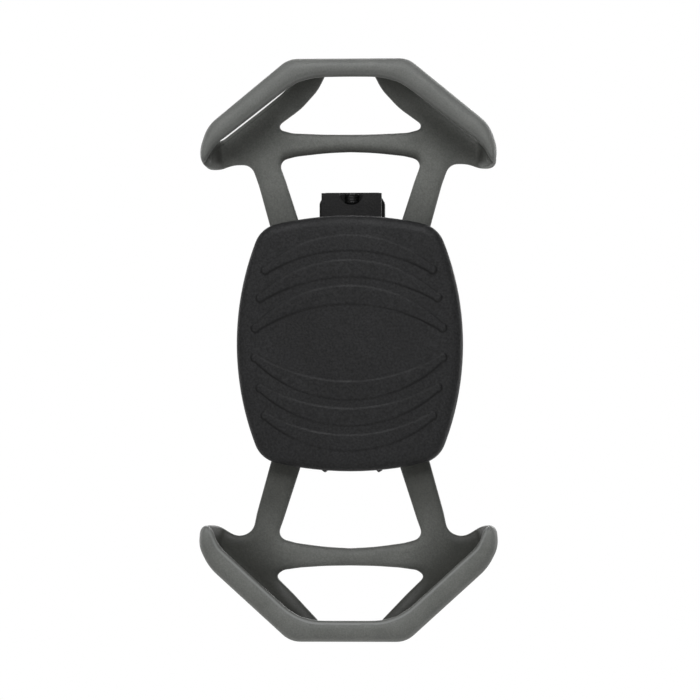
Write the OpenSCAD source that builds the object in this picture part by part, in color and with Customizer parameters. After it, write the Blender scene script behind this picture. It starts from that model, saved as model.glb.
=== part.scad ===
// Bar-mounted phone holder, in millimetres.
// Front (the phone's side) faces -Y, the long axis is Z and the bar lies along X through the origin.
// The swivel axis is Y, through the origin.

/* [Bar and clamp] */
// diameter of the handlebar that the saddle is shown on
bar_diameter = 31.8; // [25.4:0.1:35]
// thickness of the elastomer saddle pad
pad_thickness = 1.6; // [1:0.1:3]
// half the width of the clamp frame's cradle
cradle_half = 12; // [9:0.5:16]
// half the width of the frame's top plate
tab_half = 7.3; // [5:0.1:9]
// height of the top plate above the bar's axis
tab_top = 36.9; // [34:0.1:42]
// radius of the half-round notch in the top plate
notch_r = 2.9; // [1.5:0.1:4]
// lowest point of the bottom ears
ear_low = -31.2; // [-34:0.1:-28]

/* [Strap] */
// thickness of the rubber strap
strap_t = 2.6; // [1.8:0.1:4]
// half the width of the strap
strap_half = 8; // [6:0.1:10]
// distance between ladder slots
slot_pitch = 8; // [7:0.5:10]
// length of each ladder slot along the strap
slot_length = 5.8; // [4.6:0.1:6.4]
// half the width of each ladder slot
slot_half = 4.4; // [3.6:0.1:5]
// radius of the strap pin
pin_r = 1.5; // [1:0.1:2]

/* [Phone plate] */
// half the width of the pad
plate_half_w = 27.2; // [24:0.1:34]
// half the height of the pad
plate_half_h = 30.8; // [28:0.1:38]
// radius of the pad's bulging sides
side_arc_r = 68.5; // [50:0.5:150]
// radius of the pad's bulging top and bottom
end_arc_r = 78; // [50:0.5:150]
// radius of the pad's corners
plate_corner_r = 7; // [3:0.1:12]
// depth of the pad from its back to its flat front
plate_depth = 10.8; // [9.6:0.1:14]
// height of the curved ribs on the pad's front
rib_height = 0.4; // [0.2:0.1:1]
// wall of the pad cover and the rear shell
wall = 2.2; // [1.4:0.1:3]

/* [Silicone holder] */
// overall relaxed length of the silicone holder
holder_length = 140; // [120:1:170]
// overall relaxed width of the silicone holder
holder_width = 71; // [62:0.5:84]
// how far the holder's centre sits below the pad's centre
holder_drop = 1.8; // [0:0.1:3]
// how much further out each lower leg runs than the upper ones
lower_leg_spread = 0.7; // [0:0.1:1.5]
// thickness of the silicone web
web_t = 2; // [1.5:0.1:3]
// width of the band that crosses the phone's front corners
band_w = 5.4; // [4:0.1:8]
// thickness of the band
band_t = 2.4; // [1.6:0.1:4]
// depth of the pocket between the web and the band
pocket_depth = 8; // [6:0.1:12]
// half the width of the band's straight end
band_end_half = 13.1; // [9:0.1:20]
// how much steeper the lower band's slanting sides drop than the upper ones
lower_slant = 2.6; // [0:0.1:4]

/* [Swivel] */
// radius of the swivel journal
journal_r = 7; // [5:0.1:9]
// radial clearance of the swivel journal
journal_gap = 0.05; // [0.02:0.01:0.1]
// radius of the retaining disc with its detent notches
disc_r = 11; // [9:0.1:12]
// radius of the detent noses
nose_r = 1.2; // [0.8:0.1:2]

/* [Hidden] */
$fn = 64;
eps = 0.01;
bar_r = bar_diameter / 2;
cradle_r = bar_r + pad_thickness;
// stations along Y, from the frame to the front
spine_front = -(cradle_r + 5);
spine_back = spine_front + 2.2;
plate_back = spine_front - 0.5;
plate_front = plate_back - plate_depth;
web_back = plate_back - 3.6;
web_front = web_back - web_t;
band_front = web_front - pocket_depth - band_t;
// swivel stack
flange_front = plate_back - 1;
boss_front = plate_back - 3.6;
disc_back = boss_front - 0.3;
disc_front = disc_back - 1.4;
// shell screws
screw_x = 12.7;
screw_z = 21;
// strap path in the Y-Z plane, measured on the strap's middle
strap_r = bar_r + 0.1 + strap_t / 2;
outer_r = strap_r + strap_t / 2;
pin_y = spine_front + 4;
pin_z = ear_low + 4.3;
pin_d = sqrt(pin_y * pin_y + pin_z * pin_z);
low_tangent = atan2(pin_z, pin_y) + acos(strap_r / pin_d);
bend_y = spine_back + 2.1;
bend_z = 26.5;
bend_d = sqrt(bend_y * bend_y + bend_z * bend_z);
top_tangent = atan2(bend_z, bend_y) - acos(strap_r / bend_d);
low_run = sqrt(pin_d * pin_d - strap_r * strap_r);
top_run = sqrt(bend_d * bend_d - strap_r * strap_r);
hinge_low = -25;
hinge_top = 30;
bend_r = 5;
run_angle = top_tangent + 90;
bend_turn = run_angle - 90;
bend_cut = bend_r * tan(bend_turn / 2);
hook_from_bend = 7.6;
// silicone outline, measured from the holder's own centre
half_len = holder_length / 2;
half_wid = holder_width / 2;
split_z = half_len - 28.5;

// ---- helpers ----

// a flat shape drawn in X and Z, given thickness between two Y stations
module slab(y0, y1) {
  translate([0, y1, 0]) rotate([90, 0, 0]) linear_extrude(y1 - y0) children();
}

// a round bar along Y
module ycyl(r, y0, y1, x = 0, z = 0) {
  translate([x, y1, z]) rotate([90, 0, 0]) cylinder(r = r, h = y1 - y0);
}

// a round bar along X, centred on X = 0
module xcyl(r, half, y = 0, z = 0) {
  translate([-half, y, z]) rotate([0, 90, 0]) cylinder(r = r, h = 2 * half);
}

// a block between two corners
module block(lo, hi) {
  translate(lo) cube(hi - lo);
}

module both_sides() {
  children();
  mirror([1, 0, 0]) children();
}

module four_corners() {
  both_sides() children();
  mirror([0, 0, 1]) both_sides() children();
}

// ---- phone plate ----

module plate_outline(inset = 0) {
  offset(r = plate_corner_r - inset) offset(delta = -plate_corner_r)
  intersection() {
    translate([plate_half_w - side_arc_r, 0]) circle(r = side_arc_r, $fn = 180);
    translate([side_arc_r - plate_half_w, 0]) circle(r = side_arc_r, $fn = 180);
    translate([0, plate_half_h - end_arc_r]) circle(r = end_arc_r, $fn = 180);
    translate([0, end_arc_r - plate_half_h]) circle(r = end_arc_r, $fn = 180);
  }
}

// a curved rib, thick in its middle and narrow at its rounded ends
module rib_outline(top, bottom, end_x, top_r, bottom_r) {
  top_end = top - top_r + sqrt(top_r * top_r - end_x * end_x);
  bottom_end = bottom - bottom_r + sqrt(bottom_r * bottom_r - end_x * end_x);
  intersection() {
    difference() {
      translate([0, top - top_r]) circle(r = top_r, $fn = 180);
      translate([0, bottom - bottom_r]) circle(r = bottom_r, $fn = 180);
    }
    translate([-end_x, bottom_end - 3]) square([2 * end_x, top - bottom_end + 6]);
  }
  for (s = [-1, 1]) {
    translate([s * end_x, (top_end + bottom_end) / 2]) circle(d = (top_end - bottom_end) * 0.98, $fn = 24);
  }
}

module ribs() {
  for (flip = [0, 1]) {
    mirror([0, 0, flip]) slab(plate_front - rib_height, plate_front + 0.4) {
      rib_outline(25.9, 22.2, 20.1, 30.7, 38.9);
      rib_outline(19.9, 15.8, 21.3, 32, 41.4);
      rib_outline(13.7, 9.3, 22.5, 32.1, 41.3);
    }
  }
}

module pad_cover() {
  color([0.14, 0.14, 0.15]) difference() {
    union() {
      hull() {
        slab(plate_front + 2.8, web_front) plate_outline(0);
        slab(plate_front + 0.9, web_front) plate_outline(0.9);
        slab(plate_front, web_front) plate_outline(2.7);
      }
      ribs();
    }
    difference() {
      slab(plate_front + wall, web_front + 1) plate_outline(wall);
      four_corners() ycyl(3, plate_front, web_front - 2.2, screw_x, screw_z);
    }
    four_corners() ycyl(1.1, plate_front + 0.9, web_front + 1, screw_x, screw_z);
  }
}

module core_plate() {
  color([0.62, 0.63, 0.65]) difference() {
    slab(web_front - 2.2, web_front) plate_outline(wall + 0.3);
    ycyl(12.9, web_front - 3, web_front + 1);
    four_corners() ycyl(1.3, web_front - 3, web_front + 1, screw_x, screw_z);
  }
}

module rear_shell() {
  color([0.13, 0.13, 0.14]) difference() {
    union() {
      difference() {
        hull() {
          slab(web_front, plate_back - 1.8) plate_outline(0);
          slab(web_front, plate_back) plate_outline(1.6);
        }
        slab(web_front - 1, plate_back - 1.8) plate_outline(wall);
      }
      ycyl(13, boss_front, plate_back - 1);
      four_corners() ycyl(4, web_back, plate_back - 1, screw_x, screw_z);
      ycyl(2.6, boss_front, plate_back - 1, 14.2, 8.5);
      ycyl(2.6, boss_front, plate_back - 1, -14.2, -8.5);
    }
    // the silicone legs leave through the rim
    slab(web_front - 1, web_back) offset(delta = 0.05) leg_pair_outline(1);
    slab(web_front - 1, web_back) offset(delta = 0.05) leg_pair_outline(-1);
    ycyl(journal_r + journal_gap, web_front, plate_back + 1);
    ycyl(10.3, flange_front - 0.1, plate_back + 1);
    four_corners() ycyl(1.3, web_front, plate_back + 1, screw_x, screw_z);
    four_corners() ycyl(2.5, plate_back - 1.6, plate_back + 1, screw_x, screw_z);
    ycyl(0.92, boss_front - 1, plate_back - 1.4, 14.2, 8.5);
    ycyl(0.92, boss_front - 1, plate_back - 1.4, -14.2, -8.5);
  }
}

module shell_screws() {
  color([0.55, 0.55, 0.57]) four_corners() difference() {
    union() {
      ycyl(2.3, plate_back - 1.6, plate_back - 0.4, screw_x, screw_z);
      ycyl(1.05, plate_front + 1.1, plate_back - 1.5, screw_x, screw_z);
    }
    translate([screw_x, plate_back - 0.4, screw_z]) rotate([90, 0, 0]) cylinder(r = 1.2, h = 0.8, $fn = 6);
  }
}

// ---- silicone holder ----

// the inner and outer edges of a leg, at a distance from the holder's centre; end is 1 for the
// top and -1 for the bottom
function leg_in(z, end) = 12.5 + 0.323 * (z - 31.3) + (end < 0 ? lower_leg_spread : 0);
function leg_out(z, end) = 19 + 0.2975 * (z - 30.1) + (end < 0 ? lower_leg_spread : 0);

// both legs of one end, drawn in the part's own frame
module leg_pair_outline(end) {
  translate([0, -holder_drop]) scale_end(end) for (s = [-1, 1]) {
    polygon([[s * leg_in(18, end), 18], [s * leg_out(18, end), 18],
             [s * leg_out(split_z, end), split_z], [s * leg_in(split_z, end), split_z]]);
  }
}

module scale_end(end) {
  mirror([0, end < 0 ? 1 : 0]) children();
}

module legs(end) {
  color([0.36, 0.37, 0.35]) difference() {
    slab(web_front, web_back) leg_pair_outline(end);
    four_corners() ycyl(1.5, web_front - 1, web_back + 1, screw_x, screw_z);
  }
}

// the band's outer edge, carried on below the tips
module band_outline(inset, end) {
  slant_z = half_len - 14.3 - (end < 0 ? lower_slant : 0);
  side_z = half_len - 20.8 - (end < 0 ? lower_slant / 2 : 0);
  offset(r = 6 - inset) offset(delta = -6)
  polygon([[-band_end_half, half_len], [band_end_half, half_len],
           [half_wid - 3, slant_z], [half_wid, side_z],
           [half_wid - 3, half_len - 34], [3 - half_wid, half_len - 34],
           [-half_wid, side_z], [3 - half_wid, slant_z]]);
}

// the band's own ring, open at the bottom where the phone goes in
module band_ring(outer, inner, low, end) {
  difference() {
    band_outline(outer, end);
    band_outline(inner, end);
    translate([-half_wid + inner, 0]) square([2 * (half_wid - inner), half_len - 20]);
    translate([-half_wid - 1, 0]) square([2 * half_wid + 2, low]);
  }
}

// the web: crossbar, corners, diagonal edges and the arms up to the band
module web_outline(end) {
  offset(r = -1.6) offset(delta = 1.6) offset(r = 0.8) offset(delta = -0.8) {
    web_half(end);
    mirror([1, 0]) web_half(end);
  }
}

module web_half(end) {
  polygon([[0, half_len - 22.2], [9, half_len - 22.7], [14, half_len - 23.5], [16.7, half_len - 25.8],
           [leg_in(split_z, end), split_z], [leg_in(split_z - 5, end), split_z - 5],
           [leg_out(split_z - 5, end), split_z - 5], [leg_out(split_z, end), split_z],
           [23 + (end < 0 ? lower_leg_spread : 0), half_len - 26.6], [26.4, half_len - 25.1],
           [half_wid - 3.4, half_len - 26.4], [half_wid - 1, half_len - 24.6],
           [half_wid - 1, half_len - 21.6], [half_wid - 3.7, half_len - 19.4],
           [16.2, half_len - 7.2], [11.9, half_len - 4.6], [11.9, half_len - 1.6],
           [6.1, half_len - 1.6], [6.1, half_len - 4.6], [8.1, half_len - 7.2],
           [11.6, half_len - 10.8], [17.4, half_len - 15.9], [14.4, half_len - 17.8],
           [0, half_len - 18.3]]);
}

module loops(end) {
  color([0.36, 0.37, 0.35]) translate([0, 0, -holder_drop]) mirror([0, 0, end < 0 ? 1 : 0]) {
    slab(web_front, web_back) intersection() {
      web_outline(end);
      translate([-half_wid, split_z]) square([2 * half_wid, half_len]);
    }
    // front lip over the phone's corners
    slab(band_front, band_front + band_t) band_ring(1, band_w, half_len - 26, end);
    // side of the band, leaning back from the lip
    slab(band_front + 1.2, band_front + 5) band_ring(0, 2.4, half_len - 26.6, end);
    // walls from the band back to the web, at the tips and at the straight end
    both_sides() slab(band_front + 1.2, web_back) intersection() {
      band_ring(0, 2.4, half_len - 26.6, end);
      translate([half_wid - 6, half_len - 27]) square([8, 6.6]);
    }
    both_sides() slab(band_front + 1.2, web_back) intersection() {
      band_ring(0, 2.4, half_len - 26.6, end);
      translate([6.1, half_len - 4]) square([5.5, 5]);
    }
  }
}

module upper_legs() {
  legs(1);
}

module lower_legs() {
  legs(-1);
}

module upper_loops() {
  loops(1);
}

module lower_loops() {
  loops(-1);
}

// ---- swivel ----

module detent_spring() {
  difference() {
    union() {
      block([disc_r + 0.9, boss_front - 1.5, -8.5], [disc_r + 1.5, boss_front, 7]);
      block([disc_r + 0.9, boss_front - 1.5, 6.9], [disc_r + 5.2, boss_front, 10.1]);
      ycyl(nose_r, boss_front - 1.5, boss_front, disc_r + 0.6, 0);
      ycyl(0.9, boss_front - 1.5, boss_front, disc_r + 1.2, -8.6);
    }
    ycyl(0.95, boss_front - 2, boss_front + 1, 14.2, 8.5);
  }
}

module detent_springs() {
  color([0.72, 0.73, 0.75]) {
    detent_spring();
    rotate([0, 180, 0]) detent_spring();
  }
}

module detent_screw() {
  difference() {
    union() {
      ycyl(1.6, boss_front - 1.95, boss_front - 1.5, 14.2, 8.5);
      ycyl(0.9, boss_front - 1.5, plate_back - 1.5, 14.2, 8.5);
    }
    block([12.9, boss_front - 2, 8.3], [15.5, boss_front - 1.75, 8.7]);
  }
}

module detent_screws() {
  color([0.55, 0.55, 0.57]) {
    detent_screw();
    rotate([0, 180, 0]) detent_screw();
  }
}

module hub_screw_places() {
  for (a = [45 : 90 : 315]) {
    translate([4.7 * cos(a), 0, 4.7 * sin(a)]) children();
  }
}

module swivel_hub() {
  color([0.75, 0.76, 0.78]) difference() {
    union() {
      ycyl(10, flange_front, spine_front);
      ycyl(journal_r, disc_back, flange_front + eps);
    }
    ycyl(2, disc_back - 1, spine_front - 0.6);
    hub_screw_places() ycyl(1, disc_back + 0.8, spine_front + 1);
  }
}

module retaining_disc() {
  color([0.7, 0.71, 0.73]) difference() {
    ycyl(disc_r, disc_front, disc_back);
    ycyl(2.1, disc_front - 1, disc_back + 1);
    for (a = [0 : 90 : 270]) {
      ycyl(nose_r + 0.15, disc_front - 1, disc_back + 1, (disc_r + 0.6) * cos(a), (disc_r + 0.6) * sin(a));
    }
  }
}

module wave_washer() {
  color([0.72, 0.73, 0.75]) difference() {
    ycyl(10, disc_back, boss_front);
    ycyl(journal_r + 0.3, disc_back - 1, boss_front + 1);
  }
}

module pivot_screw() {
  color([0.55, 0.55, 0.57]) difference() {
    union() {
      ycyl(3.8, disc_front - 1.8, disc_front);
      ycyl(1.95, disc_front - eps, spine_front - 0.8);
    }
    translate([0, disc_front - 0.8, 0]) rotate([90, 0, 0]) cylinder(r = 1.6, h = 2, $fn = 6);
  }
}

// ---- clamp frame ----

// top plate with its notch, and the spine below it
module frame_outline() {
  difference() {
    union() {
      translate([-tab_half, 0]) square([2 * tab_half, tab_top]);
      polygon([[-cradle_half, -15], [cradle_half, -15], [cradle_half, 17], [tab_half, 24],
               [-tab_half, 24], [-cradle_half, 17]]);
      polygon([[-tab_half, -17], [tab_half, -17], [cradle_half, -14], [-cradle_half, -14]]);
    }
    translate([0, tab_top]) circle(r = notch_r);
  }
}

module clamp_frame() {
  color([0.13, 0.13, 0.14]) difference() {
    union() {
      slab(spine_front, spine_back) frame_outline();
      intersection() {
        xcyl(cradle_r + 4, cradle_half);
        block([-20, spine_front, -30], [20, -9, 30]);
      }
      block([-cradle_half, spine_front, -15], [cradle_half, -17, 15]);
      // two ears that hold the strap pin
      both_sides() ear();
      hook_frame() block([-6.9, -9.5, -3.6], [6.9, -5.2, 3.6]);
    }
    xcyl(cradle_r, cradle_half + 1);
    // flat seat under the hook
    hook_frame() block([-7, -5.2, -3.7], [7, 3, 3.7]);
    hub_screw_places() ycyl(1.1, spine_front - 1, 0);
    hub_screw_places() ycyl(2.1, spine_front + 2.6, 0);
    hook_screw_places() hook_frame() translate([0, -9, 0]) rotate([-90, 0, 0]) cylinder(r = 1, h = 9);
    // the curved edge between the two ears
    slab(spine_front - 1, pin_y + 6) translate([0, ear_low - 6]) circle(r = 9);
    // the slanting outer corner of each ear
    both_sides() slab(spine_front - 1, pin_y + 6) {
      polygon([[6.5, ear_low + 0.2], [tab_half + 0.1, ear_low + 0.8], [9, ear_low - 3], [6.5, ear_low - 3]]);
    }
  }
}

module ear() {
  difference() {
    union() {
      translate([4.7, pin_y, pin_z]) rotate([0, 90, 0]) cylinder(r = 4.1, h = tab_half - 4.75);
      block([4.7, spine_front, pin_z - 4.1], [tab_half - 0.05, pin_y, -14]);
      block([4.7, spine_front, pin_z], [tab_half - 0.05, pin_y + 4.1, -17]);
    }
    xcyl(pin_r + 0.05, 20, pin_y, pin_z);
  }
}

module saddle_pad() {
  color([0.2, 0.2, 0.2]) difference() {
    intersection() {
      xcyl(cradle_r - 0.02, cradle_half - 0.4);
      block([-20, -40, -30], [20, -6.5, 30]);
    }
    xcyl(bar_r, cradle_half + 1);
    for (a = [-48 : 24 : 48]) {
      rotate([a, 0, 0]) block([-20, 0.7 - cradle_r, -0.4], [20, 2 - bar_r, 0.4]);
    }
  }
}

module hub_screws() {
  color([0.55, 0.55, 0.57]) hub_screw_places() difference() {
    union() {
      ycyl(1.9, spine_front + 2.6, spine_front + 3.9);
      ycyl(0.95, disc_back + 1.1, spine_front + 2.7);
    }
    translate([0, spine_front + 4, 0]) rotate([90, 0, 0]) cylinder(r = 0.9, h = 0.8, $fn = 6);
  }
}

// ---- strap hook ----

// the hook's own frame: +Y points out of the strap and +Z runs along it, away from the bar
module hook_frame() {
  translate([0, bend_y, bend_z]) rotate([run_angle - 90, 0, 0]) translate([0, 0, -hook_from_bend])
  children();
}

module hook_screw_places() {
  for (s = [-1, 1]) {
    translate([s * 5, 0, 0]) children();
  }
}

module strap_hook() {
  color([0.7, 0.71, 0.73]) difference() {
    hook_frame() {
      block([-6.9, -5.2, -3.6], [6.9, -1.8, 3.6]);
      rotate([90, 0, 0]) translate([0, 0, -2.7]) linear_extrude(5) {
        square([4, 3], center = true);
        translate([-2, 0]) circle(r = 1.5);
        translate([2, 0]) circle(r = 1.5);
      }
    }
    hook_screw_places() hook_frame() translate([0, -6, 0]) rotate([-90, 0, 0]) cylinder(r = 1.05, h = 9);
    hook_screw_places() hook_frame() translate([0, -3, 0]) rotate([-90, 0, 0]) cylinder(r = 1.75, h = 6);
  }
}

module hook_screws() {
  color([0.55, 0.55, 0.57]) hook_screw_places() hook_frame() difference() {
    union() {
      translate([0, -3, 0]) rotate([-90, 0, 0]) cylinder(r = 1.65, h = 1.1);
      translate([0, -8.6, 0]) rotate([-90, 0, 0]) cylinder(r = 0.95, h = 5.8);
    }
    translate([0, -2.5, 0]) rotate([-90, 0, 0]) cylinder(r = 0.85, h = 1, $fn = 6);
  }
}

module strap_pin() {
  color([0.72, 0.73, 0.75]) difference() {
    xcyl(pin_r, tab_half + 1.3, pin_y, pin_z);
    for (s = [-1, 1]) {
      translate([s * (tab_half + 0.55), 0, 0]) difference() {
        xcyl(pin_r + 0.3, 0.3, pin_y, pin_z);
        xcyl(pin_r - 0.4, 0.4, pin_y, pin_z);
      }
    }
  }
}

module pin_clips() {
  color([0.6, 0.6, 0.62]) for (s = [-1, 1]) {
    translate([s * (tab_half + 0.55), 0, 0]) difference() {
      xcyl(pin_r + 1.2, 0.25, pin_y, pin_z);
      xcyl(pin_r - 0.36, 1, pin_y, pin_z);
      translate([-1, pin_y - 0.8, pin_z - 4]) cube([2, 1.6, 4]);
    }
  }
}

// ---- strap ----

// part of the strap that lies on the bar, from an angle above +Y, swept on towards +Z (turn = 1)
// or back (turn = -1)
module strap_arc(from, sweep, turn = 1) {
  rotate([from, 0, 0]) mirror([0, 0, turn < 0 ? 1 : 0]) rotate([0, 90, 0]) rotate([0, 0, 90])
  translate([0, 0, -strap_half]) rotate_extrude(angle = sweep, $fn = 128)
  translate([outer_r - strap_t, 0]) square([strap_t, 2 * strap_half]);
}

module strap_lower() {
  color([0.17, 0.17, 0.18]) {
    difference() {
      union() {
        xcyl(3.1, 4.4, pin_y, pin_z);
        rotate([low_tangent, 0, 0]) {
          block([-4.4, strap_r - strap_t / 2, -low_run + 1], [4.4, outer_r, -low_run + 6]);
          block([-strap_half, strap_r - strap_t / 2, -low_run + 5.6], [strap_half, outer_r, 0]);
        }
      }
      xcyl(pin_r + 0.05, 20, pin_y, pin_z);
    }
    strap_arc(low_tangent, hinge_low - low_tangent);
  }
}

module strap_middle() {
  color([0.17, 0.17, 0.18]) strap_arc(hinge_low, hinge_top - hinge_low);
}

module ladder_slot(z) {
  translate([0, 0, z]) {
    block([slot_length / 2 - slot_half, -5, -2], [slot_half - slot_length / 2, 5, slot_length - 2]);
    for (s = [-1, 1]) {
      ycyl(slot_length / 2, -5, 5, s * (slot_half - slot_length / 2), slot_length / 2 - 2);
    }
  }
}

module strap_upper() {
  color([0.17, 0.17, 0.18]) {
    strap_arc(top_tangent, top_tangent - hinge_top, -1);
    difference() {
      rotate([top_tangent, 0, 0]) block([-strap_half, strap_r - strap_t / 2, 0],
                                        [strap_half, outer_r, top_run - bend_cut]);
      hook_frame() for (k = [0 : 2]) {
        ladder_slot(-k * slot_pitch);
      }
    }
  }
}

// stiff tab moulded onto the strap's end, bent up behind the top plate
module pull_tab() {
  color([0.13, 0.13, 0.14]) {
    translate([0, bend_y + bend_r, bend_z + bend_cut]) rotate([180, 0, 0]) rotate([0, 90, 0])
    rotate([0, 0, 90]) translate([0, 0, -strap_half]) rotate_extrude(angle = bend_turn, $fn = 96)
    translate([bend_r - strap_t / 2, 0]) square([strap_t, 2 * strap_half]);
    // upright part, with slanting top corners
    slab(bend_y - strap_t / 2, bend_y + strap_t / 2)
    polygon([[-strap_half, bend_z + bend_cut], [strap_half, bend_z + bend_cut],
             [strap_half, tab_top - 2.2], [strap_half - 1.4, tab_top + 0.3],
             [1.4 - strap_half, tab_top + 0.3], [-strap_half, tab_top - 2.2]]);
    // upright grip rib that shows in the notch
    translate([0, bend_y - strap_t / 2, tab_top - 2.5]) cylinder(r = 1.8, h = 2.5);
  }
}

pad_cover();
core_plate();
rear_shell();
shell_screws();
upper_legs();
lower_legs();
upper_loops();
lower_loops();
detent_springs();
detent_screws();
swivel_hub();
retaining_disc();
wave_washer();
pivot_screw();
clamp_frame();
saddle_pad();
hub_screws();
strap_hook();
hook_screws();
strap_pin();
pin_clips();
strap_lower();
strap_middle();
strap_upper();
pull_tab();
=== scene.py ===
import math

import bmesh
import bpy
import numpy as np
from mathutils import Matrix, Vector


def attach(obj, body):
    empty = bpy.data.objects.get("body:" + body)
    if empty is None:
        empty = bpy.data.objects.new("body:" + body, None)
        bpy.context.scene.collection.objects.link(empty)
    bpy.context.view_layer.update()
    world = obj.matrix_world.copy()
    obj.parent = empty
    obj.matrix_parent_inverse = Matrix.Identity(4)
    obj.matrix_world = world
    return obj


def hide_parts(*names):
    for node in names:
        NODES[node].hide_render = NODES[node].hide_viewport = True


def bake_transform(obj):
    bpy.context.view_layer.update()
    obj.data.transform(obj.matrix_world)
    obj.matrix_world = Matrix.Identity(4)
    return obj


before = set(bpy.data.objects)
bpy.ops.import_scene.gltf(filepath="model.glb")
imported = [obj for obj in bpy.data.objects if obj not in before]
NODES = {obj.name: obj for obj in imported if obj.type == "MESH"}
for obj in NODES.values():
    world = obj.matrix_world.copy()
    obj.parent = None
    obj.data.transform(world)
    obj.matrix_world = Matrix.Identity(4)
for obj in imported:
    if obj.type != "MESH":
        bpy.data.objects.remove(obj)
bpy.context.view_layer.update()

# ---------------------------------------------------------------- sizes, in millimetres
MM = 0.001
PLATE_BACK = -23.0
PLATE_DEPTH = 10.8
PLATE_FRONT = PLATE_BACK - PLATE_DEPTH
PLATE_HALF_W, PLATE_HALF_H = 27.2, 30.8
SIDE_ARC_R, END_ARC_R = 68.5, 78.0
CORNER_R = 7.0
RIB_HEIGHT = 0.4
WEB_BACK = PLATE_BACK - 3.6
WEB_T = 2.0
WEB_FRONT = WEB_BACK - WEB_T
BAND_BACK = WEB_FRONT - 8.0
BAND_FRONT = BAND_BACK - 2.4
HOLDER_DROP = 1.8
LOWER_LEG_SPREAD = 0.7
BAR_R = 15.9
STRAP_T, STRAP_HALF = 2.6, 8.0
STRAP_R = BAR_R + 0.1 + STRAP_T / 2
PIN_Y, PIN_Z = -18.5, -26.9
BEND_Y, BEND_Z = -18.2, 26.5
BEND_R = 5.0
TAB_TOP = 36.9
RIB_LENGTH = 2.5
HINGE_LOW, HINGE_TOP = -25.0, 30.0
HOOK_FROM_BEND = 7.6
SLOT_LENGTH, SLOT_HALF, SLOT_PITCH = 5.8, 4.4, 8.0
SLOT_COUNT = 3
NECK_HALF, KNUCKLE_R, PIN_BORE_R = 4.4, 3.1, 1.55


# ---------------------------------------------------------------- small tools
def fineness(fine):
    return fine


def smoothstep(a, b, x):
    """0 at a, 1 at b, with soft ends."""
    t = np.clip((np.asarray(x, float) - a) / (b - a), 0.0, 1.0)
    return t * t * (3 - 2 * t)


def make_object(name, verts_mm, faces, smooth=True):
    """A mesh object in metres from points in millimetres."""
    mesh = bpy.data.meshes.new(name)
    mesh.from_pydata([tuple(float(c) * MM for c in v) for v in verts_mm], [], faces)
    mesh.validate()
    mesh.update()
    if smooth:
        mesh.polygons.foreach_set("use_smooth", [True] * len(mesh.polygons))
    obj = bpy.data.objects.new(name, mesh)
    bpy.context.scene.collection.objects.link(obj)
    return obj


def smooth_faces(obj):
    polygons = obj.data.polygons
    polygons.foreach_set("use_smooth", [True] * len(polygons))


def fix_normals(obj):
    bm = bmesh.new()
    bm.from_mesh(obj.data)
    bmesh.ops.recalc_face_normals(bm, faces=bm.faces)
    bm.to_mesh(obj.data)
    bm.free()
    obj.data.update()


def apply_modifiers(obj):
    depsgraph = bpy.context.evaluated_depsgraph_get()
    depsgraph.update()
    made = bpy.data.meshes.new_from_object(obj.evaluated_get(depsgraph))
    obj.modifiers.clear()
    old = obj.data
    obj.data = made
    bpy.data.meshes.remove(old)


def paint(obj, name, values):
    """Stores one number per point, which a material can read by its name."""
    attribute = obj.data.attributes.new(name, "FLOAT", "POINT")
    attribute.data.foreach_set("value", values.astype(np.float32))


def join(objs, name):
    """One object from several, which are removed."""
    bm = bmesh.new()
    for o in objs:
        bm.from_mesh(o.data)
    mesh = bpy.data.meshes.new(name)
    bm.to_mesh(mesh)
    bm.free()
    for o in objs:
        old = o.data
        bpy.data.objects.remove(o)
        bpy.data.meshes.remove(old)
    obj = bpy.data.objects.new(name, mesh)
    bpy.context.scene.collection.objects.link(obj)
    return obj


def voxel_fuse(obj, voxel_mm):
    """Melts overlapping closed pieces into one even skin."""
    fix_normals(obj)
    m = obj.modifiers.new("fuse", "REMESH")
    m.mode = "VOXEL"
    m.voxel_size = voxel_mm * MM
    m.use_smooth_shade = True
    apply_modifiers(obj)


def relax(obj, steps):
    m = obj.modifiers.new("relax", "SMOOTH")
    m.factor = 0.5
    m.iterations = steps
    apply_modifiers(obj)


def rounded(points, radii, step_deg=7.0):
    """A closed outline whose corners are turned into arcs."""
    out = []
    n = len(points)
    for i in range(n):
        p0, p1, p2 = (np.array(points[(i + k - 1) % n], float) for k in range(3))
        a, b = p0 - p1, p2 - p1
        la, lb = np.linalg.norm(a), np.linalg.norm(b)
        a, b = a / la, b / lb
        turn = math.pi - math.acos(float(np.clip(a @ b, -1, 1)))
        r = radii[i]
        if r <= 0 or turn < 0.02:
            out.append(p1)
            continue
        cut = min(r * math.tan(turn / 2), 0.48 * la, 0.48 * lb)
        r = cut / math.tan(turn / 2)
        mid = (a + b) / np.linalg.norm(a + b)
        centre = p1 + mid * math.hypot(r, cut)
        s, e = p1 + a * cut - centre, p1 + b * cut - centre
        steps = max(2, int(math.degrees(turn) / step_deg) + 1)
        a0 = math.atan2(s[1], s[0])
        da = math.atan2(e[1], e[0]) - a0
        da = (da + math.pi) % (2 * math.pi) - math.pi
        for k in range(steps + 1):
            t = a0 + da * k / steps
            out.append(centre + r * np.array([math.cos(t), math.sin(t)]))
    return np.array(out)


def slab(name, outline, y0, y1):
    """An outline drawn in X and Z, given thickness between two Y stations."""
    n = len(outline)
    verts = [(x, y0, z) for x, z in outline] + [(x, y1, z) for x, z in outline]
    faces = [list(range(n)), list(range(2 * n - 1, n - 1, -1))]
    faces += [[i, (i + 1) % n, n + (i + 1) % n, n + i] for i in range(n)]
    obj = make_object(name, verts, faces, smooth=False)
    bm = bmesh.new()
    bm.from_mesh(obj.data)
    bmesh.ops.triangulate(bm, faces=[f for f in bm.faces if len(f.verts) > 4])
    bm.to_mesh(obj.data)
    bm.free()
    fix_normals(obj)
    return obj


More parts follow.
